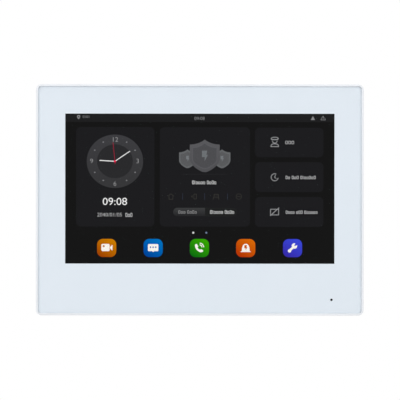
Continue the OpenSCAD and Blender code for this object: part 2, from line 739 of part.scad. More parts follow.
// Moulded rear cover: pocket for the bracket, connector bay, speaker grille and vents
module rear_cover() color(housing_white) upright() {
    floor_z = pocket_z + pocket_floor_t;
    pocket_w = bracket_w + 3;
    pocket_h = bracket_h + lift + 4;
    cavity_in = back_in + 2.6;
    reveal = 0.3;
    difference() {
        union() {
            difference() {
                loft(concat(back_edge(), [[split_z - reveal - eps, waist_w, waist_h, waist_r]]));
                loft([
                    [side_floor_z, waist_w - 2 * cavity_in, waist_h - 2 * cavity_in, waist_r - 2.5],
                    [split_z + 1, waist_w - 2 * wall, waist_h - 2 * wall, waist_r - wall]
                ]);
            }
            translate([0, -(lift + 1) / 2 - 1, 0])
                slab(pocket_w + 2 * pocket_floor_t, pocket_h + 2 * pocket_floor_t + 2, 6,
                     side_floor_z - 0.5, floor_z);
            difference() {
                slab(waist_w - 2 * wall - 0.6, waist_h - 2 * wall - 0.6, waist_r - wall - 0.3,
                     split_z - 2.5, split_z + 1.8);
                slab(waist_w - 2 * wall - 3, waist_h - 2 * wall - 3, waist_r - wall - 1.5,
                     split_z - 3, split_z + 2);
            }
            translate([0, bay_y, 0])
                block(bay_w + 2 * bay_wall, bay_h + 2 * bay_wall, pocket_z, bay_floor_z + bay_wall);
            at_each(cover_screw_places) post(cover_boss_d, side_floor_z - 0.5, split_z - 0.7);
            at_each(speaker_screw_places) post(5, side_floor_z - 0.5, speaker_front_z);
        }
        // Pocket that the bracket nests in, long enough for the lift
        translate([0, -(lift + 1) / 2, 0]) slab(pocket_w, pocket_h, 6, cover_back_z - 1, pocket_z);
        // Connector bay and its windows
        translate([0, bay_y, 0]) block(bay_w, bay_h, cover_back_z - 1, bay_floor_z);
        translate([jack_x, bay_top, 0]) block(13, 4, jack_back_z + 0.4, bay_floor_z);
        for (set = [[power_x, power_ways], [alarm_x, alarm_ways]])
            translate([set[0], bay_top, 0])
                block(set[1] * pitch + 0.9, 4, plug_z - plug_h / 2 - 0.3, plug_z + plug_h / 2 + 0.3);
        translate([-bay_w / 2, card_y, 0]) block(4, 12, board_back_z - 1.6, board_back_z - 0.3);
        translate([bay_w / 2, reset_y, reset_z]) rotate([0, 90, 0]) cylinder(d = 2.2, h = 4, center = true);
        // Slots for the hooks
        at_each(hook_places) translate([0, (bracket_t + 0.1 - lift - 0.2) / 2, 0])
            block(hook_w + 2 * slot_side, bracket_t + 0.1 + lift + 0.2, pocket_z - 1, floor_z + 1);
        // Speaker grille
        for (row = [-5 : 5], column = [-2 : 2])
            translate([speaker_x + column * 3.2, speaker_y + row * 3.2, 0])
                post(1.8, cover_back_z - 1, side_floor_z + 1);
        // Vents on the other side and along the top and bottom
        for (i = [-3 : 3]) translate([68.5, i * 5, 0]) slab(16, 2, 0.99, cover_back_z - 1, side_floor_z + 1);
        for (up = [-1, 1], i = [-9 : 9])
            translate([i * 6, up * waist_h / 2, 0]) block(2.4, 14, 6.6, 9.4);
        // Screw wells
        at_each(cover_screw_places) {
            post(3.2, cover_back_z - 1, split_z + 1);
            post(6.4, cover_back_z - 1, split_z - 3);
        }
        // Seats of the wall pads
        at_each(pad_places) post(8.2, cover_back_z - 1, cover_back_z + 0.5);
        at_each(speaker_screw_places) post(2.1, side_floor_z - 1, speaker_front_z + 1);
    }
}

pad_places = [for (side = [-1, 1], up = [-1, 1]) [side * 64, up * 47]];

// Four screws that fix the rear cover to the chassis
module cover_screws() color(tin_grey) upright()
    at_each(cover_screw_places) pan_screw(2.4, 7, split_z - 3);

// Rubber pads that meet the wall
module wall_pads() color(foam_black) upright() at_each(pad_places) post(8, 0.1, cover_back_z + 0.5);

// Blank rating label on the back
module rating_label() color("#D4D7DA") upright()
    translate([68.5, 30, 0]) slab(18, 20, 1, cover_back_z - 0.12, cover_back_z);

// ---- Assembly ----------------------------------------------------------------------------

wall_bracket();
front_frame();
cover_lens();
lens_print();
lens_tape();
optical_adhesive();
touch_sensor();
touch_flex();
display_gasket();
lcd_frame();
lcd_cell();
optical_films();
light_guide();
led_strip();
backlight_tray();
lcd_flex();
chassis_plate();
chassis_screws();
board_standoffs();
cover_standoffs();
main_board();
board_screws();
processor();
memory_chips();
heat_sink();
wifi_module();
wifi_antenna();
antenna_coax();
ethernet_transformer();
network_jack();
network_contacts();
power_header();
alarm_header();
header_pins();
power_coils();
capacitors();
card_socket();
flex_connectors();
lead_connectors();
reset_switch();
speaker_gasket();
speaker_frame();
speaker_cone();
speaker_magnet();
speaker_screws();
speaker_lead();
microphone();
microphone_boot();
microphone_lead();
rear_cover();
cover_screws();
wall_pads();
rating_label();
power_plug();
power_plug_screws();
alarm_plug();
alarm_plug_screws();
reset_button();
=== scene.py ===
import math

import bmesh
import bpy
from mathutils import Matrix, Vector


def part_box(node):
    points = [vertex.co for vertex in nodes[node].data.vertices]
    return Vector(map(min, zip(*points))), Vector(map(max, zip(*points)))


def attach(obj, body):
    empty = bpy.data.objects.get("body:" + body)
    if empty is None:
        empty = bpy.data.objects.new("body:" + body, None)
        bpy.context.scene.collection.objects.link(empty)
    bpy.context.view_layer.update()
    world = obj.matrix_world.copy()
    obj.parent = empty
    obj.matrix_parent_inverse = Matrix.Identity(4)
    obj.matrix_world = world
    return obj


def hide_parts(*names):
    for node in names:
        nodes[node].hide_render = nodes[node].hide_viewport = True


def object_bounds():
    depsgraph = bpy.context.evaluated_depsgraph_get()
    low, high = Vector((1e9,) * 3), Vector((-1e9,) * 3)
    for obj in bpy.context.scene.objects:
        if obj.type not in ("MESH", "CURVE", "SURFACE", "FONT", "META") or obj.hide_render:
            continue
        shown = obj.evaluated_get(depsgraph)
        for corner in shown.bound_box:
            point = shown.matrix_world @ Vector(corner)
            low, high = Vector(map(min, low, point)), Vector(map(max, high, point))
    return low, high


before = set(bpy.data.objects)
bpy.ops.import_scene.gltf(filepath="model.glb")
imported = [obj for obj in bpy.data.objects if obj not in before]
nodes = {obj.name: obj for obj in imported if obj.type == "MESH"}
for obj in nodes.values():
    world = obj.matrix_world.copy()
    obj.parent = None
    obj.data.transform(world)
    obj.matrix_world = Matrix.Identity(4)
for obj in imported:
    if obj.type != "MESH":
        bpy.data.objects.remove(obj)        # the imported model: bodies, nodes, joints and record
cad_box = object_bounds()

MM = 0.001
bpy.ops.object.select_all(action="DESELECT")


# ---- Wall bracket -------------------------------------------------------------------------
# A plate of galvanised sheet steel, stamped, with four hooks bent out of it. It is dull silver
# with the faint cloudy patches that hot zinc leaves, and brighter where the tool has rubbed it.

def linear(colour):
    """An sRGB hex colour as the linear values that a shader takes."""
    channels = [int(colour[i:i + 2], 16) / 255 for i in (1, 3, 5)]
    return [c / 12.92 if c <= 0.04045 else ((c + 0.055) / 1.055) ** 2.4 for c in channels] + [1.0]


def add_node(owner, kind, settings=(), links=()):
    """Adds a node to a material or the world. A setting is an attribute or input with its value, a link an
    input with its source."""
    node = owner.node_tree.nodes.new(kind)
    for name, value in dict(settings).items():
        if isinstance(name, int) or name in node.inputs:
            node.inputs[name].default_value = value
        else:
            setattr(node, name, value)
    for name, source in dict(links).items():
        owner.node_tree.links.new(source, node.inputs[name])
    return node


def new_material(name, shader):
    """A material named for what it is, with its shader's own sockets set. Returns it and its shader."""
    material = bpy.data.materials.new(name)
    material.use_nodes = True
    bsdf = material.node_tree.nodes["Principled BSDF"]
    for socket, value in shader.items():
        bsdf.inputs[socket].default_value = value
    return material, bsdf


def mottle(material, bsdf, colours, patch_mm, roughness, grain_mm, bump):
    """Gives a surface patches of two near colours, a roughness that varies with them, and a fine grain."""
    tree = material.node_tree
    place = add_node(material, "ShaderNodeTexCoord").outputs["Object"]
    patches = add_node(material, "ShaderNodeTexNoise", {"Scale": 1 / (patch_mm * MM), "Detail": 3.0},
                       {"Vector": place})
    blend = add_node(material, "ShaderNodeMix", {"data_type": "RGBA", 6: linear(colours[0]), 7: linear(colours[1])},
                     {0: patches.outputs["Fac"]})
    tree.links.new(blend.outputs[2], bsdf.inputs["Base Color"])
    sheen = add_node(material, "ShaderNodeMapRange", {"To Min": roughness[0], "To Max": roughness[1]},
                     {"Value": patches.outputs["Fac"]})
    tree.links.new(sheen.outputs["Result"], bsdf.inputs["Roughness"])
    grain = add_node(material, "ShaderNodeTexNoise", {"Scale": 1 / (grain_mm * MM), "Detail": 2.0},
                     {"Vector": place})
    relief = add_node(material, "ShaderNodeBump", {"Strength": bump, "Distance": 0.05 * MM},
                      {"Height": grain.outputs["Fac"]})
    tree.links.new(relief.outputs["Normal"], bsdf.inputs["Normal"])
    return place, blend


def surface(name, shader, *pattern):
    """A material with its shader's own sockets and its mottled pattern, whose parts mottle() lists."""
    material, bsdf = new_material(name, shader)
    mottle(material, bsdf, *pattern)
    return material


def dress(material, *names):
    """Gives CAD nodes their one material."""
    for name in names:
        piece = nodes[name]
        piece.data.materials.clear()
        piece.data.materials.append(material)


def only(piece):
    """Selects one piece and nothing else."""
    bpy.ops.object.select_all(action="DESELECT")
    piece.select_set(True)
    bpy.context.view_layer.objects.active = piece


def finished_copy(name, body, material, round_mm=0.0, smooth=32):
    """A copy of a CAD node with its loose triangles joined, its sharp edges broken and its curves smooth."""
    source = nodes[name]
    piece = source.copy()
    piece.data = source.data.copy()
    piece.name = name + "_finished"
    bpy.context.collection.objects.link(piece)
    only(piece)
    bpy.ops.object.mode_set(mode="EDIT")
    bpy.ops.mesh.select_all(action="SELECT")
    bpy.ops.mesh.remove_doubles(threshold=0.001 * MM)
    if round_mm:
        bpy.ops.mesh.dissolve_limited(angle_limit=math.radians(0.4))
    bpy.ops.object.mode_set(mode="OBJECT")
    if round_mm:
        edges = piece.modifiers.new("edges", "BEVEL")
        edges.width = round_mm * MM
        edges.segments = 2
        edges.limit_method = "ANGLE"
        edges.angle_limit = math.radians(40)
        edges.use_clamp_overlap = True
        bpy.ops.object.modifier_apply(modifier="edges")
    bpy.ops.mesh.customdata_custom_splitnormals_clear()
    bpy.ops.object.shade_smooth()
    bpy.ops.object.mode_set(mode="EDIT")
    bpy.ops.mesh.select_mode(type="EDGE")
    bpy.ops.mesh.select_all(action="DESELECT")
    bpy.ops.mesh.edges_select_sharp(sharpness=math.radians(smooth))
    bpy.ops.mesh.mark_sharp()
    bpy.ops.object.mode_set(mode="OBJECT")
    flats = piece.modifiers.new("flats", "WEIGHTED_NORMAL")     # keeps the flat faces flat beside a curve
    flats.keep_sharp = True
    bpy.ops.object.modifier_apply(modifier="flats")
    piece.data.materials.clear()
    piece.data.materials.append(material)
    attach(piece, body)
    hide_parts(name)
    return piece


galvanised = surface("galvanised_sheet_steel", {"Metallic": 1.0}, ("#9AA1A6", "#B9BEC1"), 6, (0.34, 0.52), 0.8, 0.12)
dress(galvanised, "wall_bracket")
finished_copy("wall_bracket", "bracket", galvanised, 0.18)


# ---- Housing ------------------------------------------------------------------------------
# Front frame and rear cover, injection moulded in white ABS. The mould's spark-eroded texture
# gives the skin a fine matt grain, and the colour is even, with a cool grey-white cast.

white_abs = surface("moulded_white_abs", {"IOR": 1.53, "Specular IOR Level": 0.4},
                    ("#E0E2E6", "#E4E6E9"), 30, (0.42, 0.5), 0.45, 0.25)
dress(white_abs, "front_frame", "rear_cover")
finished_copy("front_frame", "monitor", white_abs)
finished_copy("rear_cover", "monitor", white_abs)


# ---- Cover glass --------------------------------------------------------------------------
# Toughened glass, cut, with its edge ground to a small chamfer and its faces polished flat. It
# is water-white, and its ground edge is a pale matt white. Tape holds it in the front frame.

window_low, window_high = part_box("optical_adhesive")
glass_low, glass_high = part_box("cover_lens")
polished, bsdf = new_material("polished_cover_glass", {
    "Base Color": linear("#0C1110"), "Roughness": 0.03, "IOR": 1.5, "Alpha": 0.03})
ground_edge = surface("ground_glass_edge", {"IOR": 1.5}, ("#F4F8FB", "#F8FBFD"), 3, (0.35, 0.5), 0.2, 0.15)


def pick(piece, kind, wanted):
    """Selects, in edit mode, the faces or edges that the test wants, by centre and direction."""
    bpy.ops.mesh.select_all(action="DESELECT")
    mesh = bmesh.from_edit_mesh(piece.data)
    for item in (mesh.faces if kind == "faces" else mesh.edges):
        if kind == "faces":
            found = wanted(item.calc_center_median(), item.normal)
        else:
            ends = [corner.co for corner in item.verts]
            found = wanted((ends[0] + ends[1]) / 2, (ends[1] - ends[0]).normalized())
        item.select_set(found)
    mesh.select_flush(kind == "faces")
    bmesh.update_edit_mesh(piece.data)


middle = (glass_low + glass_high) / 2
pane_half = (glass_high - glass_low) / 2 + Vector((0.11, 0, 0.11)) * MM     # snug in its rim
pane_r = 1.7 * MM
chamfer_wide, chamfer_deep = 0.15 * MM, 0.1 * MM
mic_x, mic_z, mic_r = 75.6 * MM, -57.3 * MM, 0.7 * MM
bpy.ops.mesh.primitive_cube_add(size=1, location=middle)
pane = bpy.context.object
pane.name = "cover_glass_pane"
pane.scale = 2 * pane_half
bpy.ops.object.transform_apply(location=True, rotation=True, scale=True)
bpy.ops.object.mode_set(mode="EDIT")
bpy.ops.mesh.select_mode(type="EDGE")
pick(pane, "edges", lambda at, way: abs(way.y) > 0.9)
bpy.ops.mesh.bevel(offset=pane_r, segments=7, affect="EDGES")
bpy.ops.mesh.select_mode(type="FACE")
pick(pane, "faces", lambda at, normal: normal.y < -0.9)
bpy.ops.mesh.inset(thickness=chamfer_wide)
bpy.ops.object.mode_set(mode="OBJECT")
for v in pane.data.vertices:    # the rim of the front face falls back, as the ground chamfer does
    x = max(0, abs(v.co.x - middle.x) - (pane_half.x - pane_r))
    z = max(0, abs(v.co.z - middle.z) - (pane_half.z - pane_r))
    if v.co.y < middle.y and math.hypot(x, z) > pane_r - 0.1 * MM:
        v.co.y += chamfer_deep
bpy.ops.mesh.primitive_cylinder_add(vertices=32, radius=mic_r, depth=6 * MM, location=(mic_x, middle.y, mic_z),
                                    rotation=(math.pi / 2, 0, 0))
drill = bpy.context.object
cut = pane.modifiers.new("microphone_hole", "BOOLEAN")
cut.object = drill
cut.solver = "EXACT"
only(pane)
bpy.ops.object.modifier_apply(modifier="microphone_hole")
bpy.data.objects.remove(drill)
pane.data.materials.clear()
pane.data.materials.append(polished)
pane.data.materials.append(ground_edge)
for face in pane.data.polygons:
    in_hole = math.hypot(face.center.x - mic_x, face.center.z - mic_z) < 2 * mic_r
    face.material_index = 0 if in_hole or abs(face.normal.y) > 0.95 else 1
bpy.ops.object.shade_smooth_by_angle(angle=math.radians(25))
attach(pane, "monitor")
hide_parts("cover_lens")

# White ink, screen printed on the back of the glass in several passes, so it is even and opaque.
ink = surface("screen_printed_white_ink", {"IOR": 1.5, "Specular IOR Level": 0.2, "Coat Weight": 0.6,
                                           "Coat Roughness": 0.03},
              ("#DCE3EA", "#DEE5EC"), 40, (0.55, 0.62), 0.3, 0.05)
dress(ink, "lens_print")
print_low, print_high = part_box("lens_print")
nearer = 0.45 * MM                      # what lies behind glass looks nearer than it is
white_print = finished_copy("lens_print", "monitor", ink)
for v in white_print.data.vertices:
    if v.co.y < (print_low.y + print_high.y) / 2:
        v.co.y -= nearer

# Optical adhesive and touch sensor: so clear that they hardly show.
clear, bsdf = new_material("clear_film", {
    "Base Color": linear("#000000"), "Roughness": 0.3, "Specular IOR Level": 0.0, "Alpha": 0.01})
dress(clear, "optical_adhesive", "touch_sensor")

black_foam = surface("black_foam", {"Specular IOR Level": 0.2}, ("#1B1C1E", "#26272A"), 1.5, (0.85, 0.95), 0.3, 0.5)
dress(black_foam, "lens_tape", "display_gasket", "speaker_gasket")


# ---- Display ------------------------------------------------------------------------------
# The liquid crystal cell, two sheets of thin glass with a polariser film on each. It is black
# where no picture is shown, and it is bonded to the touch sensor in front of it.

cell_material, bsdf = new_material("display_polariser", {"Roughness": 0.35, "Specular IOR Level": 0.15,
                                                         "Base Color": linear("#0B0B0C")})
dress(cell_material, "lcd_cell")


# ---- Picture ------------------------------------------------------------------------------
# What the display shows, as lit shapes in thin layers on the front of the cell. Words are shown
# as rows of small marks, and only the clock and the date have figures.

cell_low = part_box("lcd_cell")[0]
picture_x = (window_low.x + window_high.x) / 2
picture_z = (window_low.z + window_high.z) / 2
picture_w = (window_high.x - window_low.x) / MM
picture_h = (window_high.z - window_low.z) / MM
layer = 0.04 * MM
lamp_level = 1.06          # makes up for what the glass in front takes away


def lit(name, colour, second=None, start=(0, 0), end=(0, 1)):
    """Light of a colour. A second colour blends in from start to end, in mm from the picture's centre."""
    material, bsdf = new_material(name, {"Base Color": linear("#000000"), "Roughness": 0.08,
                                         "Specular IOR Level": 0.5, "Emission Strength": lamp_level})
    bsdf.inputs["Emission Color"].default_value = linear(colour)
    if second:
        low, high = [Vector((picture_x + x * MM, 0, picture_z + y * MM)) for x, y in (start, end)]
        way = high - low
        place = add_node(material, "ShaderNodeTexCoord").outputs["Object"]
        along = add_node(material, "ShaderNodeVectorMath", {"operation": "DOT_PRODUCT", 1: way}, {0: place})
        share = add_node(material, "ShaderNodeMapRange", {"From Min": low.dot(way), "From Max": high.dot(way)},
                         {"Value": along.outputs["Value"]})
        blend = add_node(material, "ShaderNodeMix", {"data_type": "RGBA", 6: linear(colour), 7: linear(second)},
                         {0: share.outputs["Result"]})
        material.node_tree.links.new(blend.outputs[2], bsdf.inputs["Emission Color"])
    return material


def place_flat(piece, name, x, y, level, finish, home=None):
    """Stands a flat curve or text up on its layer of the picture, or at a home of its own, as a mesh."""
    home = home or Vector((picture_x, cell_low.y - layer * (level + 0.5), picture_z))
    only(piece)
    bpy.ops.object.convert(target="MESH")
    piece.name = name
    piece.rotation_euler = (math.pi / 2, 0, 0)
    piece.location = home + Vector((x * MM, 0, y * MM))
    bpy.ops.object.transform_apply(location=True, rotation=True, scale=True)
    bpy.ops.object.mode_set(mode="EDIT")
    bpy.ops.mesh.select_all(action="SELECT")
    bpy.ops.mesh.remove_doubles(threshold=0.002 * MM)
    bpy.ops.mesh.normals_make_consistent(inside=False)
    bpy.ops.object.mode_set(mode="OBJECT")
    piece.data.materials.clear()
    piece.data.materials.append(finish)
    return piece


def flat_shape(name, outlines, level, finish, home=None):
    """A thin shape with closed outlines in mm from the picture's centre. One inside another is a hole."""
    curve = bpy.data.curves.new(name, "CURVE")
    curve.dimensions = "2D"
    curve.fill_mode = "BOTH"
    curve.extrude = layer / 2
    for outline in outlines:
        spline = curve.splines.new("POLY")
        spline.points.add(len(outline) - 1)
        spline.use_cyclic_u = True
        for point, (x, y) in zip(spline.points, outline):
            point.co = (x * MM, y * MM, 0, 1)
    piece = bpy.data.objects.new(name, curve)
    bpy.context.collection.objects.link(piece)
    return place_flat(piece, name, 0, 0, level, finish, home)


def figures(name, words, x, y, height, level, finish, stretch=1.0, bold=0.0):
    """Figures of a height in mm, centred on a place."""
    figure_share = 0.69         # a figure's share of the type's size
    bpy.ops.object.text_add()
    piece = bpy.context.object
    piece.data.body = words
    piece.data.size = height * MM / figure_share
    piece.data.align_x = "CENTER"
    piece.data.align_y = "CENTER"
    piece.data.extrude = layer / 2
    piece.data.offset = bold * MM
    piece.data.resolution_u = 4
    piece.scale = (stretch, 1, 1)
    return place_flat(piece, name, x, y, level, finish)


def joined(name, pieces):
    """Joins thin shapes into one piece, which rides on the monitor."""
    bpy.ops.object.select_all(action="DESELECT")
    for piece in pieces:
        piece.select_set(True)
    bpy.context.view_layer.objects.active = pieces[0]
    bpy.ops.object.join()
    whole = pieces[0]
    whole.name = name
    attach(whole, "monitor")


def arc(x, y, radius, start, end, steps=12, stretch=1.0):
    """Points along an arc, its angles in degrees from the right."""
    angles = [math.radians(start + (end - start) * i / steps) for i in range(steps + 1)]
    return [(x + stretch * radius * math.cos(a), y + radius * math.sin(a)) for a in angles]


def disc(x, y, radius, stretch=1.0, steps=48):
    return arc(x, y, radius, 0, 360 - 360 / steps, steps - 1, stretch)


def round_box(left, bottom, right, top, radius, steps=8):
    corners = [(right - radius, bottom + radius, -90), (right - radius, top - radius, 0),
               (left + radius, top - radius, 90), (left + radius, bottom + radius, 180)]
    return [p for x, y, start in corners for p in arc(x, y, radius, start, start + 90, steps)]


def stroke(x0, y0, x1, y1, width, steps=6):
    """A straight bar with round ends."""
    lean = math.degrees(math.atan2(y1 - y0, x1 - x0))
    return arc(x1, y1, width / 2, lean - 90, lean + 90, steps) + arc(x0, y0, width / 2, lean + 90, lean + 270, steps)


def bend(start, pull, end, steps=8):
    """Points of a curve from start to end that leans to pull."""
    return [tuple((1 - t) ** 2 * a + 2 * t * (1 - t) * b + t * t * c for a, b, c in zip(start, pull, end))
            for t in (i / steps for i in range(steps + 1))]


def mirrored(half):
    """A closed outline from its right half, given from the top down."""
    return half + [(-x, y) for x, y in reversed(half) if abs(x) > 1e-6]


def moved(outline, x, y, size=1.0):
    return [(x + size * px, y + size * py) for px, py in outline]


def marks(x, y, words, height, pitch=0.98, line=0.27):
    """Outlines that stand for words, from x to the right: a hollow block for each sign, tall or low, or a bar."""
    outlines = []
    for word in words:
        for kind in word:
            low, top = y - height / 2, y - height / 2 + height * (0.74 if kind == "x" else 1)
            if kind == "i":
                outlines.append(round_box(x, low, x + line, top, line * 0.3, 2))
                x += pitch * 0.5
            else:
                wide = pitch * 0.78
                outlines.append(round_box(x, low, x + wide, top, pitch * 0.24, 2))
                outlines.append(round_box(x + line, low + line, x + wide - line, top - line, pitch * 0.1, 2))
                x += pitch
        x += pitch * 0.55
    return outlines


ground = lit("lit_ground", "#171717")
strip = lit("lit_strip", "#202021")
card = lit("lit_card", "#1E1E20")
side, top = picture_w / 2 + 1, picture_h / 2 + 1         # runs on 1 mm behind the ink
strip_foot = 38.3
joined("picture_ground", [
    flat_shape("ground", [round_box(-side, -top, side, top, 0.5)], 0, ground),
    flat_shape("strip", [round_box(-side, strip_foot, side, top, 0.3)], 1, strip),
    flat_shape("cards", [round_box(-71.1, -21.8, -26.1, 35.4, 2.6), round_box(-23.0, -21.8, 28.8, 35.3, 2.6),
                         round_box(31.7, 18.1, 71.0, 35.1, 2.6), round_box(31.7, -1.9, 71.0, 15.3, 2.6),
                         round_box(31.7, -21.9, 71.0, -4.7, 2.6)], 1, card)])

# The signs in the strip at the top: a place mark with its number, the time, a bell-shaped warning
# and a tray with an arrow.
strip_sign = lit("lit_strip_sign", "#8C8C8E")
pin_mark = arc(0, 0, 0.95, -25, 205, 14) + [(0, -1.55)]
tray = [stroke(-1.5, -1.2, 1.5, -1.2, 0.28), stroke(-1.5, -1.2, -1.0, 0.3, 0.24), stroke(1.5, -1.2, 1.0, 0.3, 0.24),
        [(-0.75, 0.5), (0.75, 0.5), (0, 1.45)], stroke(0, 0.6, 0, -0.5, 0.24)]
joined("picture_strip_signs", [
    flat_shape("place_mark", [moved(pin_mark, -69.7, 41.35), disc(-69.7, 41.35, 0.4, 1.0, 16)], 2, strip_sign),
    figures("place_number", "0101", -65.3, 41.2, 1.5, 2, strip_sign, 0.98, -0.02),
    figures("strip_time", "09:08", -0.2, 40.3, 1.8, 2, strip_sign, 1.04, -0.02),
    flat_shape("warning_mark", [moved([(-1.2, -1.05), (1.2, -1.05), (0, 1.2)], 64.9, 40.6)], 2, strip_sign),
    flat_shape("tray_mark_base", [moved(tray[0], 70.8, 40.6, 0.85), moved(tray[3], 70.8, 40.6, 0.85)], 2, strip_sign),
    flat_shape("tray_mark_sides", [moved(tray[1], 70.8, 40.6, 0.85), moved(tray[2], 70.8, 40.6, 0.85)], 3, strip_sign),
    flat_shape("tray_mark_arrow", [moved(tray[4], 70.8, 40.6, 0.85)], 3, strip_sign)])


# ---- Picture: clock -----------------------------------------------------------------------
# A dial of two greys, a little wider than it is high as the panel's dots are, with four hour
# figures, eight hour dots, two white hands and a thin red one.

dial_x, dial_y, dial_r, dial_stretch = -48.8, 15.7, 15.35, 1.055
face = lit("lit_dial", "#3E3E41", "#38383A", (0, 31), (0, 6))
inner = lit("lit_dial_inner", "#2B2B2D")
figure_grey = lit("lit_dial_figure", "#949496")
dot_grey = lit("lit_dial_dot", "#828286")
white = lit("lit_white", "#EFEFEF")
red = lit("lit_second_hand", "#A51D38")
hub_red = lit("lit_hub", "#F21D4D")
soft_white = lit("lit_soft_white", "#C9C9CA")


def pointed(angle, radius):
    """A place on the dial, at an angle in degrees from the right."""
    a = math.radians(angle)
    return dial_x + dial_stretch * radius * math.cos(a), dial_y + radius * math.sin(a)


def hand(angle, tail, reach, width):
    x0, y0 = pointed(angle + 180, tail)
    x1, y1 = pointed(angle, reach)
    return stroke(x0, y0, x1, y1, width)


joined("picture_clock", [
    flat_shape("dial", [disc(dial_x, dial_y, dial_r, dial_stretch, 96)], 2, face),
    flat_shape("dial_inner", [disc(dial_x, dial_y, 9.75, dial_stretch, 72)], 3, inner),
    *[figures("hour_" + hour, hour, *pointed(angle, radius), 2.6, 3, figure_grey, 1.04, -0.03)
      for hour, angle, radius in (("12", 90, 12.35), ("3", 0, 12.4), ("6", 270, 13.0), ("9", 180, 12.7))],
    flat_shape("hour_dots", [disc(*pointed(a, 12.7), 0.36, 1.25, 12) for a in (30, 60, 120, 150, 210, 240, 300, 330)],
               3, dot_grey),
    flat_shape("hour_hand", [hand(176.5, 0.4, 8.25, 0.5)], 4, white),
    flat_shape("minute_hand", [hand(35.5, 0.4, 9.9, 0.46)], 5, white),
    flat_shape("second_hand", [hand(95.5, 1.5, 10.7, 0.28)], 6, red),
    flat_shape("hub", [disc(dial_x, dial_y, 0.62, 1.0, 20)], 7, hub_red),
    figures("time", "09:08", dial_x, -7.6, 4.15, 2, white, 1.08, 0.0),
    figures("date", "2040/01/05", -51.8, -15.1, 2.15, 2, soft_white, 1.02, -0.04),
    flat_shape("day", marks(-42.7, -15.1, ["lxl"], 2.3, 1.4), 2, soft_white)])


# ---- Picture: guard card ------------------------------------------------------------------
# Three shields, the middle one in front with a border line, each with a lightning flash. Under
# them a line, a heading, four faint modes between thin bars, and a switch of two halves.

flash_shape = [(-1.62, 3.2), (1.5, 3.2), (0.95, 0.75), (1.95, 0.75), (-0.15, -3.1), (0.0, -0.6), (-1.62, -0.6)]


def shield(x, half, peak, shoulder, side_end, bottom):
    """Outline of a shield: a point at the top, hollow shoulders, upright sides and a bowed foot."""
    half_outline = (bend((0, peak), (half * 0.36, shoulder + (peak - shoulder) * 0.12), (half * 0.88, shoulder))
                    + bend((half * 0.96, shoulder), (half, shoulder), (half, shoulder - 0.06 * half), 4)
                    + bend((half, side_end), (half * 0.92, bottom + (side_end - bottom) * 0.42),
                           (half * 0.16, bottom + 0.02 * half), 12)
                    + [(half * 0.06, bottom)])
    return moved(mirrored(half_outline), x, 0)


shield_rim = lit("lit_shield_rim", "#646668")
shield_side = lit("lit_shield_side", "#5A5B5D")
shield_side_flash = lit("lit_shield_side_flash", "#74787C")
front_rim = lit("lit_shield_front_rim", "#505053", "#5A5A5D", (0, 9), (0, 28))
front_line = lit("lit_shield_front_line", "#5B5B5F")
front_face = lit("lit_shield_front", "#4E4E51")
front_flash = lit("lit_shield_front_flash", "#6E7275")
rule = lit("lit_rule", "#242426")
faint = lit("lit_faint_mode", "#343330")
bar_grey = lit("lit_bar", "#2B2F3B")
heading = lit("lit_heading", "#D8D8D8")
guard = []
for x in (-7.1, 12.7):
    guard += [flat_shape("shield_side", [shield(x, 4.85, 22.6, 20.9, 16.2, 11.8)], 2, shield_rim),
              flat_shape("shield_side_face", [shield(x, 3.95, 21.5, 19.9, 16.0, 12.8)], 3, shield_side),
              flat_shape("shield_side_flash", [moved(flash_shape, x + 0.05, 17.2, 0.52)], 4, shield_side_flash)]
guard += [flat_shape("shield_front", [shield(2.8, 8.6, 28.2, 25.4, 17.0, 9.5)], 5, front_rim),
          flat_shape("shield_front_line", [shield(2.8, 7.2, 26.6, 23.9, 16.8, 11.3)], 6, front_line),
          flat_shape("shield_front_face", [shield(2.8, 6.8, 26.1, 23.4, 16.7, 11.8)], 7, front_face),
          flat_shape("shield_front_flash", [moved(flash_shape, 2.8, 18.75, 0.98)], 8, front_flash),
          flat_shape("rule", [stroke(-10.0, 8.3, 15.5, 8.3, 0.4)], 2, rule),
          flat_shape("heading", marks(-4.4, 3.6, ["lixxxx", "lxlx"], 2.1, 1.4), 2, heading),
          flat_shape("mode_bars", [round_box(x - 0.2, -6.4, x + 0.2, -2.6, 0.1, 2) for x in (-9.9, 2.75, 15.9)],
                     2, bar_grey)]

# The four modes: a house, a door with an arrow, a bed and a ring with a bar.
modes = [[stroke(-18.2, -4.3, -16.6, -2.9, 0.4), stroke(-17.7, -6.1, -15.5, -6.1, 0.4)],
         [stroke(-15.0, -4.3, -16.6, -2.9, 0.4)],
         [stroke(-17.7, -4.6, -17.7, -6.0, 0.4), stroke(-15.5, -4.6, -15.5, -6.0, 0.4)],
         [round_box(-3.6, -6.1, -1.8, -2.9, 0.5), round_box(-3.2, -5.7, -2.2, -3.3, 0.3),
          [(-5.1, -4.5), (-4.2, -3.7), (-4.2, -5.3)]],
         [round_box(8.0, -4.4, 10.8, -3.0, 0.3), round_box(8.4, -4.1, 10.4, -3.4, 0.2),
          stroke(7.6, -6.1, 8.0, -4.6, 0.4), stroke(11.0, -6.1, 10.7, -4.6, 0.4)],
         [stroke(8.2, -5.2, 10.4, -5.2, 0.35), disc(22.4, -4.5, 1.75), disc(22.4, -4.5, 1.4)],
         [stroke(21.5, -4.5, 23.3, -4.5, 0.35)]]
guard += [flat_shape("modes", outlines, 2 + i % 3, faint) for i, outlines in enumerate(modes)]

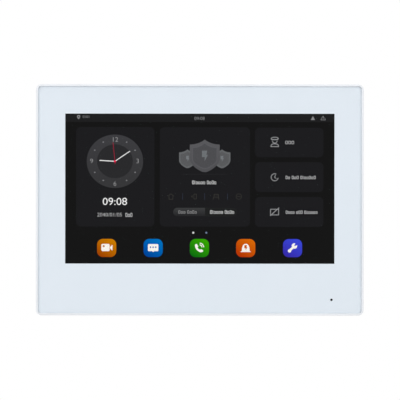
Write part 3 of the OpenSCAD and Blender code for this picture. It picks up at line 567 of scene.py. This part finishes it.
switch_left = lit("lit_switch_left", "#3C3D3E", "#262628", (0, -11.0), (0, -15.8))
switch_edge = lit("lit_switch_edge", "#262727")
switch_right = lit("lit_switch_right", "#212222")
left_words = lit("lit_switch_left_words", "#8F8F90")
pill_left = [(3.0, -15.8), (3.0, -11.0)] + arc(-12.9, -13.4, 2.4, 90, 270, 16)
pill_right = [(3.0, -11.0), (3.0, -15.8)] + arc(18.8, -13.4, 2.4, -90, 90, 16)
guard += [flat_shape("switch_left", [pill_left], 2, switch_left),
          flat_shape("switch_edge", [pill_right], 2, switch_edge),
          flat_shape("switch_right", [[(3.0, -11.3), (3.0, -15.5)] + arc(18.7, -13.4, 2.1, -90, 90, 16)], 3,
                     switch_right),
          flat_shape("switch_left_words", marks(-12.3, -13.4, ["lxx", "lxlx"], 1.9, 1.43), 3, left_words),
          flat_shape("switch_right_words", marks(5.9, -13.4, ["lixxxx", "lxlx"], 2.0, 1.4), 4, heading),
          flat_shape("page_dot", [disc(-3.75, -25.3, 0.6, 1.0, 20)], 1, heading),
          flat_shape("page_dot_next", [disc(3.75, -25.3, 0.58, 1.0, 20)], 1, lit("lit_next_page", "#6F7F9C"))]
joined("picture_guard_card", guard)


# ---- Picture: side cards ------------------------------------------------------------------
# Three outline signs in grey: a helper in a cap, a moon, and a screen struck out. Beside each
# of them stand its words, in a lighter grey.

sign = lit("lit_side_sign", "#8F9092")
words = lit("lit_side_words", "#BDBDBE")
sign_x = 43.0
cap = bend((-2.35, 2.1), (-1.6, 3.1), (0, 3.05), 6) + bend((0.1, 3.05), (1.6, 3.1), (2.35, 2.1), 6) \
    + [(1.75, 1.15), (-1.75, 1.15)]
cap_hole = bend((-1.8, 2.05), (-1.2, 2.65), (0, 2.6), 6) + bend((0.1, 2.6), (1.2, 2.65), (1.8, 2.05), 6) \
    + [(1.45, 1.75), (-1.45, 1.75)]
bust = [(-2.4, -2.8), (2.4, -2.8)] + bend((2.4, -2.1), (2.1, -0.9), (0.6, -0.75), 6) \
    + bend((-0.6, -0.75), (-2.1, -0.9), (-2.4, -2.1), 6)
bust_hole = [(-1.9, -2.35), (1.9, -2.35)] + bend((1.85, -1.9), (1.6, -1.35), (0.5, -1.2), 6) \
    + bend((-0.5, -1.2), (-1.6, -1.35), (-1.85, -1.9), 6)
head = arc(0, 0.95, 1.55, 180, 360, 16)
head_hole = arc(0, 0.95, 1.1, 180, 360, 16)
moon = arc(-0.1, 0, 2.25, 62, 352, 30) + bend((1.6, -0.55), (-0.6, -0.9), (0.75, 1.9), 12)
moon_hole = arc(-0.1, 0, 1.8, 72, 338, 30) + bend((0.6, -0.75), (-1.0, -0.5), (0.3, 1.45), 12)
screen = [round_box(-2.6, -1.95, 2.5, 1.75, 0.35, 3), round_box(-2.15, -1.5, 2.05, 1.3, 0.2, 3)]
joined("picture_side_cards", [
    flat_shape("helper_cap", [moved(cap, sign_x, 26.8), moved(cap_hole, sign_x, 26.8)], 2, sign),
    flat_shape("helper_bust", [moved(bust, sign_x, 26.8), moved(bust_hole, sign_x, 26.8)], 2, sign),
    flat_shape("helper_head", [moved(head, sign_x, 26.6), moved(head_hole, sign_x, 26.6)], 3, sign),
    flat_shape("moon", [moved(moon, sign_x + 0.1, 6.6), moved(moon_hole, sign_x + 0.1, 6.6)], 2, sign),
    flat_shape("screen", [moved(outline, sign_x, -13.3) for outline in screen], 2, sign),
    flat_shape("screen_strike", [stroke(sign_x - 2.4, -15.4, sign_x + 2.4, -11.0, 0.5)], 3, sign),
    flat_shape("words_one", marks(49.1, 26.6, ["lll"], 1.9, 1.8), 2, words),
    flat_shape("words_two", marks(49.3, 6.5, ["lx", "lxl", "lixxlxl"], 1.9, 1.39), 2, words),
    flat_shape("words_three", marks(49.4, -13.45, ["lxxx", "xll", "lxxxxx"], 1.9, 1.31), 2, words)])


# ---- Picture: tiles -----------------------------------------------------------------------
# Five tiles with round corners, each lighter towards its upper right, with a white sign:
# camera, speech, handset, siren and wrench.

tile_colours = [("#9C3B02", "#CE8000"), ("#003F97", "#0074C4"), ("#046A10", "#37A800"), ("#B22E05", "#DA6A08"),
                ("#3629A6", "#3B49DC")]
glyph = lit("lit_tile_glyph", "#FAF5EE")
tile_x = (-53.5, -26.8, -0.2, 26.4, 53.3)
tile_y = -34.1
tiles = []
for x, (low_colour, high_colour) in zip(tile_x, tile_colours):
    tiles.append(flat_shape("tile", [round_box(x - 5.5, tile_y - 5.22, x + 5.5, tile_y + 5.22, 3.3)], 1,
                            lit("lit_tile_" + str(len(tiles)), low_colour, high_colour, (x - 3.4, tile_y - 5.4),
                                (x + 3.4, tile_y + 5.4))))

camera_body = [round_box(-3.1, -2.0, 1.7, 2.2, 0.8), disc(-1.7, 0.9, 0.6, 1.0, 16)]
camera_eye = [(1.95, -0.35), (3.15, -1.6), (3.35, -1.45), (3.35, 1.4), (3.15, 1.55), (1.95, 0.4)]
bubble = [[(-2.6, 2.1), (2.6, 2.1)] + arc(2.5, 1.5, 0.5, 60, 0, 4) + [(3.0, -1.5)] + arc(2.5, -1.5, 0.5, 0, -80, 4)
          + [(0.75, -1.95), (0.0, -2.5), (-0.75, -1.95)] + arc(-2.5, -1.5, 0.5, -100, -180, 4)
          + [(-3.0, 1.5)] + arc(-2.5, 1.5, 0.5, 180, 120, 4)]
bubble_dots = [round_box(x - 0.38, -0.15, x + 0.38, 0.75, 0.2, 3) for x in (-1.5, 0.0, 1.5)]
handset = (bend((-2.6, 1.55), (-2.2, 2.35), (-1.55, 2.2), 4) + bend((-0.7, 1.0), (-0.65, 0.65), (-1.05, 0.3), 4)
           + bend((-0.9, -0.2), (-0.4, -0.75), (0.35, -1.15), 6) + bend((0.8, -0.85), (1.1, -0.8), (1.4, -0.95), 4)
           + bend((2.2, -1.6), (2.3, -2.0), (1.6, -2.45), 4) + bend((0.6, -2.6), (-2.2, -1.6), (-2.6, 1.2), 12))
siren = [bend((-2.25, -1.9), (-2.25, 2.3), (0, 2.3), 10) + bend((0.1, 2.3), (2.25, 2.3), (2.25, -1.9), 10),
         moved(flash_shape, 0.0, 0.0, 0.48)]
siren_foot = [round_box(-2.9, -2.45, 2.9, -1.95, 0.15, 2)]
wrench_head = arc(0, 0, 1.6, 75, 375, 24) + [(0.72, 0.22), (0.3, -0.2), (-0.1, 0.1), (0.15, 0.65)]
wrench = [moved(wrench_head, 1.1, 1.1), [(0.55, -0.35), (-1.55, -2.4), (-2.5, -1.4), (-0.35, 0.6)]]
wrench_foot = [disc(-1.75, -1.75, 0.98, 1.0, 20), disc(-1.75, -1.75, 0.3, 1.0, 12)]
for i, groups in enumerate(([camera_body, [camera_eye]], [bubble + bubble_dots], [[handset]], [siren, siren_foot],
                            [[wrench[0]], [wrench[1]], wrench_foot])):
    for step, outlines in enumerate(groups):
        tiles.append(flat_shape("tile_glyph", [moved(o, tile_x[i], tile_y + 0.15) for o in outlines], 2 + step, glyph))
rings = [arc(0.1, 0.3, r + 0.26, 0, 88, 10) + arc(0.1, 0.3, r - 0.26, 88, 0, 10) for r in (1.35, 2.35)]
tiles.append(flat_shape("handset_rings", [moved(o, tile_x[2], tile_y + 0.15) for o in rings], 2, glyph))
joined("picture_tiles", tiles)


# ---- Display module -----------------------------------------------------------------------
# The frame round the cell and the tray behind it, both pressed from thin steel. The tray holds
# the films, the acrylic light guide and its strip of lamps.

steel = surface("bright_pressed_steel", {"Metallic": 1.0}, ("#A9ACAE", "#BFC2C4"), 9, (0.25, 0.38), 0.4, 0.06)
dress(steel, "lcd_frame", "chassis_plate")
tray_steel = surface("rolled_tray_steel", {"Metallic": 1.0}, ("#8E9294", "#A2A6A8"), 12, (0.35, 0.5), 0.4, 0.06)
dress(tray_steel, "backlight_tray")
film = surface("diffuser_film", {"Specular IOR Level": 0.3}, ("#E6E8E6", "#EEF0EE"), 20, (0.5, 0.6), 0.3, 0.05)
dress(film, "optical_films")
acrylic = surface("moulded_light_guide_acrylic", {"IOR": 1.49}, ("#DDE8EA", "#E6EFF0"), 20, (0.1, 0.16), 1.0, 0.03)
dress(acrylic, "light_guide")
lamp = surface("lamp_strip", {"IOR": 1.5}, ("#E9E2B4", "#F2EDC8"), 3, (0.3, 0.4), 0.5, 0.1)
dress(lamp, "led_strip")
polyimide = surface("polyimide_film_with_copper", {"IOR": 1.6}, ("#B4701C", "#8A5010"), 4, (0.25, 0.4), 0.6, 0.1)
dress(polyimide, "touch_flex", "lcd_flex", "wifi_antenna")


# ---- Boards -------------------------------------------------------------------------------
# Glass-fibre board under green solder mask, which is glossy and a little lighter over each copper
# trace. Traces are 0.4 mm wide here, about twice their true width, so that they show.

board, bsdf = new_material("solder_mask_on_glass_fibre", {"IOR": 1.55, "Coat Weight": 0.3, "Coat Roughness": 0.15})
place, blend = mottle(board, bsdf, ("#0F4A2C", "#14573A"), 8, (0.3, 0.42), 0.5, 0.12)
traces = add_node(board, "ShaderNodeTexBrick", {"Color1": linear("#0F4A2C"), "Color2": linear("#12512F"),
                                                "Mortar": linear("#2C7A4C"), "Scale": 1 / (6 * MM),
                                                "Mortar Size": 0.035, "Brick Width": 0.9, "Row Height": 0.25})
turned = add_node(board, "ShaderNodeMapping", {"Rotation": (math.pi / 2, 0, 0)}, {"Vector": place})
board.node_tree.links.new(turned.outputs["Vector"], traces.inputs["Vector"])
mask = add_node(board, "ShaderNodeMix", {"data_type": "RGBA", 0: 0.7},
                {6: blend.outputs[2], 7: traces.outputs["Color"]})
board.node_tree.links.new(mask.outputs[2], bsdf.inputs["Base Color"])
dress(board, "main_board", "wifi_module")

# Chips in black moulding compound, tinned terminals, wound coils and ivory nylon connectors.
chip = surface("black_moulding_compound", {"IOR": 1.5}, ("#191A1B", "#232425"), 1.2, (0.55, 0.68), 0.15, 0.2)
dress(chip, "processor", "memory_chips", "ethernet_transformer", "power_coils", "reset_switch")
sink = surface("black_anodised_extrusion", {"Metallic": 0.9}, ("#2C2E31", "#37393C"), 3, (0.4, 0.5), 0.2, 0.1)
dress(sink, "heat_sink")
can = surface("sleeved_aluminium_can", {"IOR": 1.5}, ("#2B3238", "#3A424A"), 2, (0.3, 0.4), 0.3, 0.08)
dress(can, "capacitors")
ivory = surface("moulded_ivory_nylon", {"IOR": 1.53}, ("#E3DCC6", "#ECE6D3"), 4, (0.4, 0.5), 0.3, 0.12)
dress(ivory, "flex_connectors", "lead_connectors")
nickel = surface("nickel_plated_screw", {"Metallic": 1.0}, ("#B9B7B0", "#CFCDC6"), 1.5, (0.22, 0.34), 0.2, 0.1)
dress(nickel, "chassis_screws", "board_standoffs", "board_screws", "speaker_screws", "cover_screws", "card_socket")
tinned = surface("tinned_terminal", {"Metallic": 1.0}, ("#C2C4C4", "#D3D5D5"), 1, (0.25, 0.35), 0.15, 0.1)
dress(tinned, "header_pins", "power_plug_screws", "alarm_plug_screws")
gold = surface("gold_flashed_contact", {"Metallic": 1.0}, ("#C99A3C", "#E0B458"), 0.8, (0.2, 0.3), 0.15, 0.06)
dress(gold, "network_contacts")
black_lead = surface("extruded_black_pvc", {"IOR": 1.53}, ("#17181A", "#222427"), 3, (0.35, 0.48), 0.3, 0.1)
dress(black_lead, "antenna_coax", "microphone_lead")
red_lead = surface("extruded_red_pvc", {"IOR": 1.53}, ("#7D1719", "#8C1C1E"), 3, (0.35, 0.48), 0.3, 0.1)
dress(red_lead, "speaker_lead")


# ---- Ports --------------------------------------------------------------------------------
# The network jack is black glass-filled nylon. Headers and their pluggable terminals are green
# polyamide, satin from the mould, with tinned clamp screws set below the face.

jack = surface("moulded_black_nylon", {"IOR": 1.53}, ("#1A1B1D", "#242628"), 2, (0.35, 0.48), 0.3, 0.15)
dress(jack, "network_jack", "reset_button")
# The microphone boot and capsule are black rubber, darkened far below real black rubber as painted shade, so that the
# deep microphone hole in the glass reads dark.
boot = surface("black_silicone_rubber_darkened_as_painted_shade", {"Specular IOR Level": 0.1},
               ("#050506", "#08080A"), 1.5, (0.85, 0.95), 0.3, 0.2)
dress(boot, "microphone_boot", "microphone")
terminal = surface("moulded_green_polyamide", {"IOR": 1.53}, ("#1B7440", "#22834B"), 4, (0.38, 0.5), 0.35, 0.15)
dress(terminal, "power_header", "alarm_header", "power_plug", "alarm_plug")


# ---- Speaker ------------------------------------------------------------------------------
# A pressed steel basket, painted grey, with a black paper cone pleated at its edge and a
# sintered ferrite magnet. Two screws hold it in the rear cover.

basket = surface("pressed_speaker_basket", {"Metallic": 0.9}, ("#4B4E52", "#5B5F63"), 3, (0.4, 0.5), 0.3, 0.08)
dress(basket, "speaker_frame")
cone = surface("pressed_paper_cone", {"Specular IOR Level": 0.2}, ("#1D1D1E", "#2A2A2B"), 0.8, (0.8, 0.9), 0.25, 0.4)
dress(cone, "speaker_cone")
ferrite = surface("sintered_ferrite", {"IOR": 1.8}, ("#2B2B2E", "#3A3A3E"), 2, (0.45, 0.6), 0.3, 0.2)
dress(ferrite, "speaker_magnet")


# ---- Back ---------------------------------------------------------------------------------
# Four grey rubber pads keep the cover off the wall. The label is silver polyester film, blank,
# with a printed border and empty fields.

rubber = surface("moulded_grey_rubber", {"Specular IOR Level": 0.3},
                 ("#4A4D50", "#56595C"), 1.5, (0.75, 0.88), 0.3, 0.3)
dress(rubber, "wall_pads", "cover_standoffs")
label = surface("silver_polyester_label", {"Metallic": 0.35}, ("#C9CCCE", "#D6D8DA"), 8, (0.35, 0.45), 0.3, 0.05)
dress(label, "rating_label")

label_low, label_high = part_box("rating_label")
label_x, label_z = [(label_low[i] + label_high[i]) / 2 / MM for i in (0, 2)]
border = [round_box(-8.3, -9.3, 8.3, 9.3, 0.8), round_box(-8.1, -9.1, 8.1, 9.1, 0.7)]
fields = [stroke(-8.1, z, 8.1, z, 0.2, 3) for z in (5.4, 1.8, -1.8)]
squares = [round_box(x - 1.3, -7.8, x + 1.3, -5.2, 0.3, 3) for x in (-5.4, -1.8, 1.8, 5.4)]
squares += [round_box(x - 1.1, -7.6, x + 1.1, -5.4, 0.2, 3) for x in (-5.4, -1.8, 1.8, 5.4)]
label_ink = surface("printed_label_ink", {"Specular IOR Level": 0.3}, ("#4C5054", "#5A5E62"), 3, (0.45, 0.6), 0.3, 0.05)
label_home = Vector((label_x * MM, label_high.y, label_z * MM))
joined("label_print", [flat_shape("label_" + name, outlines, 0, label_ink, label_home)
                       for name, outlines in (("border", border), ("fields", fields), ("squares", squares))])


# ---- Floor, light and camera --------------------------------------------------------------
# A pale floor below the monitor, a white surround, and large soft lamps above and beside it.
# The camera stands square on, 1.6 m before the glass.

scene = bpy.context.scene
scene.view_settings.view_transform = "Standard"

floor_low = -0.36
bpy.ops.mesh.primitive_plane_add(size=3.0, location=(0, 0.3, floor_low))
floor = bpy.context.object
floor.name = "floor"
bpy.ops.object.transform_apply(location=True, rotation=True, scale=True)
floor_paint = surface("floor_paint", {"Specular IOR Level": 0.1}, ("#E6E6E5", "#EBEBEA"), 200, (0.8, 0.9), 5, 0.02)
floor.data.materials.append(floor_paint)

world = bpy.data.worlds.new("studio")
scene.world = world
world.use_nodes = True
world.node_tree.nodes.clear()
rays = add_node(world, "ShaderNodeLightPath")
seen = add_node(world, "ShaderNodeBackground", {"Color": (1, 1, 1, 1)})
around = add_node(world, "ShaderNodeBackground", {"Color": (0.97, 0.985, 1.0, 1)})
gloss = add_node(world, "ShaderNodeBackground")
outward = add_node(world, "ShaderNodeTexCoord")
split = add_node(world, "ShaderNodeSeparateXYZ", (), {"Vector": outward.outputs["Generated"]})


def by_depth(shader, low, high, start, end):
    """Lets the light of the surround run from start, at depth low, to end, at depth high."""
    run = add_node(world, "ShaderNodeMapRange", {"From Min": low, "From Max": high, "To Min": start, "To Max": end},
                   {"Value": split.outputs["Y"]})
    world.node_tree.links.new(run.outputs["Result"], shader.inputs["Strength"])


by_depth(around, -1.0, 1.0, 1.02, 0.54)       # lighter before the monitor than behind it
by_depth(gloss, -0.95, -0.75, 0.0, 0.6)       # the room behind the camera is dark
first = add_node(world, "ShaderNodeMixShader", (), {"Fac": rays.outputs["Is Glossy Ray"],
                                                    1: around.outputs["Background"], 2: gloss.outputs["Background"]})
second = add_node(world, "ShaderNodeMixShader", (), {"Fac": rays.outputs["Is Camera Ray"],
                                                     1: first.outputs["Shader"], 2: seen.outputs["Background"]})
add_node(world, "ShaderNodeOutputWorld", (), {"Surface": second.outputs["Shader"]})


def soft_lamp(name, place, size, power):
    """A large lamp that faces the monitor, its power in watts."""
    data = bpy.data.lights.new(name, "AREA")
    data.shape = "RECTANGLE"
    data.size, data.size_y = size
    data.energy = power
    lamp = bpy.data.objects.new(name, data)
    bpy.context.collection.objects.link(lamp)
    lamp.location = place
    lamp.rotation_euler = (-Vector(place)).to_track_quat("-Z", "Y").to_euler()


soft_lamp("lamp_left", (-1.5, -1.3, 0.9), (1.0, 1.2), 12)
soft_lamp("lamp_right", (1.7, -1.2, 0.5), (0.9, 1.2), 8)
soft_lamp("lamp_top", (0, -0.6, 1.6), (1.4, 0.8), 1)
soft_lamp("lamp_back", (0.5, 1.4, 0.9), (1.0, 0.7), 6)

camera_data = bpy.data.cameras.new("camera")
camera_data.sensor_width = 36
camera_data.lens = 251.1
camera_data.clip_start = 0.01
camera = bpy.data.objects.new("camera", camera_data)
bpy.context.collection.objects.link(camera)
distance = 1.6
camera.location = (0.1 * MM, cad_box[0][1] - distance, -0.1 * MM)
camera.rotation_euler = (math.pi / 2, math.radians(-0.06), 0)
scene.camera = camera
